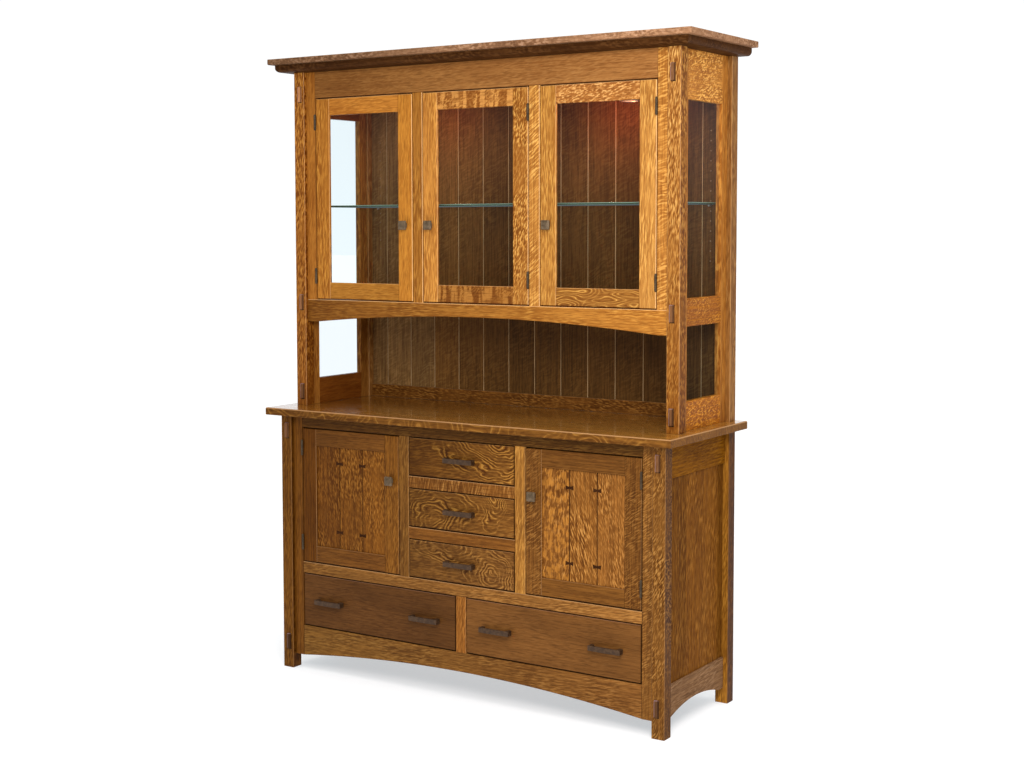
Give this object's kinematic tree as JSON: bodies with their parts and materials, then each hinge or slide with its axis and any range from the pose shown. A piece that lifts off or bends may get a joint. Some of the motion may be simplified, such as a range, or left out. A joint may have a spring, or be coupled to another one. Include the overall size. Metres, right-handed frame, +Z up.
{
  "type": "hutch cabinet",
  "caption": "Glazed hutch over an open niche, on a buffet base with panelled cupboards, small and wide drawers, an arched apron and square posts.",
  "frame": {"origin": "on the floor, under the middle of the worktop", "axes": "+Z up, the front faces -Y, +X to the right seen from the front"},
  "size_m": [1.6182, 0.54, 2.1154],
  "materials": {
    "oak": "satin lacquer over a golden brown stain",
    "dark_oak": "satin lacquer over a darker brown stain",
    "inside_oak": "plain lacquer",
    "glass": "clear",
    "bronze": "dark antique bronze, worn lighter on its edges"
  },
  "bodies": {
    "case": {"base_back": "inside_oak", "base_end_left": "dark_oak", "base_end_right": "dark_oak", "base_face_frame": "dark_oak", "base_floor": "inside_oak", "cornice_cap": "oak", "cornice_moulding": "oak", "cupboard_door_left_hinge_lower": "bronze", "cupboard_door_left_hinge_upper": "bronze", "cupboard_door_right_hinge_lower": "bronze", "cupboard_door_right_hinge_upper": "bronze", "cupboard_floor": "inside_oak", "drawer_divider": "inside_oak", "glass_door_centre_hinge_lower": "bronze", "glass_door_centre_hinge_upper": "bronze", "glass_door_left_hinge_lower": "bronze", "glass_door_left_hinge_upper": "bronze", "glass_door_right_hinge_lower": "bronze", "glass_door_right_hinge_upper": "bronze", "glass_shelf": "glass", "hutch_back": "oak", "hutch_ceiling": "oak", "hutch_deck": "oak", "hutch_end_left": "oak", "hutch_end_right": "oak", "hutch_face_frame": "oak", "partition_left": "inside_oak", "partition_right": "inside_oak", "side_glass_lower_left": "glass", "side_glass_lower_right": "glass", "side_glass_upper_left": "glass", "side_glass_upper_right": "glass", "worktop": "dark_oak"},
    "cupboard_door_left": {"cupboard_door_left_frame": "dark_oak", "cupboard_door_left_knob": "bronze", "cupboard_door_left_panel": "dark_oak"},
    "cupboard_door_right": {"cupboard_door_right_frame": "dark_oak", "cupboard_door_right_knob": "bronze", "cupboard_door_right_panel": "dark_oak"},
    "drawer_bottom": {"drawer_bottom": "dark_oak", "drawer_bottom_pull": "bronze"},
    "drawer_middle": {"drawer_middle": "dark_oak", "drawer_middle_pull": "bronze"},
    "drawer_top": {"drawer_top": "dark_oak", "drawer_top_pull": "bronze"},
    "glass_door_centre": {"glass_door_centre_frame": "oak", "glass_door_centre_knob": "bronze", "glass_door_centre_pane": "glass"},
    "glass_door_left": {"glass_door_left_frame": "oak", "glass_door_left_knob": "bronze", "glass_door_left_pane": "glass"},
    "glass_door_right": {"glass_door_right_frame": "oak", "glass_door_right_knob": "bronze", "glass_door_right_pane": "glass"},
    "wide_drawer_left": {"wide_drawer_left": "dark_oak", "wide_drawer_left_pull_left": "bronze", "wide_drawer_left_pull_right": "bronze"},
    "wide_drawer_right": {"wide_drawer_right": "dark_oak", "wide_drawer_right_pull_left": "bronze", "wide_drawer_right_pull_right": "bronze"}
  },
  "joints": [
    {"name": "cupboard_door_left_hinge", "type": "hinge", "parent": "case", "child": "cupboard_door_left", "pos_m": [-0.65955, -0.2218, 0.61325], "axis": [0, 0, -1], "range_deg": [0, 110]},
    {"name": "cupboard_door_right_hinge", "type": "hinge", "parent": "case", "child": "cupboard_door_right", "pos_m": [0.65955, -0.2218, 0.61325], "axis": [0, 0, 1], "range_deg": [0, 110]},
    {"name": "drawer_bottom_slide", "type": "slide", "parent": "case", "child": "drawer_bottom", "axis": [0, -1, 0], "range_m": [0, 0.3]},
    {"name": "drawer_middle_slide", "type": "slide", "parent": "case", "child": "drawer_middle", "axis": [0, -1, 0], "range_m": [0, 0.3]},
    {"name": "drawer_top_slide", "type": "slide", "parent": "case", "child": "drawer_top", "axis": [0, -1, 0], "range_m": [0, 0.3]},
    {"name": "glass_door_centre_hinge", "type": "hinge", "parent": "case", "child": "glass_door_centre", "pos_m": [0.20585, -0.1358, 1.63265], "axis": [0, 0, 1], "range_deg": [0, 110]},
    {"name": "glass_door_left_hinge", "type": "hinge", "parent": "case", "child": "glass_door_left", "pos_m": [-0.65955, -0.1358, 1.63265], "axis": [0, 0, -1], "range_deg": [0, 110]},
    {"name": "glass_door_right_hinge", "type": "hinge", "parent": "case", "child": "glass_door_right", "pos_m": [0.65955, -0.1358, 1.63265], "axis": [0, 0, 1], "range_deg": [0, 110]},
    {"name": "wide_drawer_left_slide", "type": "slide", "parent": "case", "child": "wide_drawer_left", "axis": [0, -1, 0], "range_m": [0, 0.3]},
    {"name": "wide_drawer_right_slide", "type": "slide", "parent": "case", "child": "wide_drawer_right", "axis": [0, -1, 0], "range_m": [0, 0.3]}
  ]
}
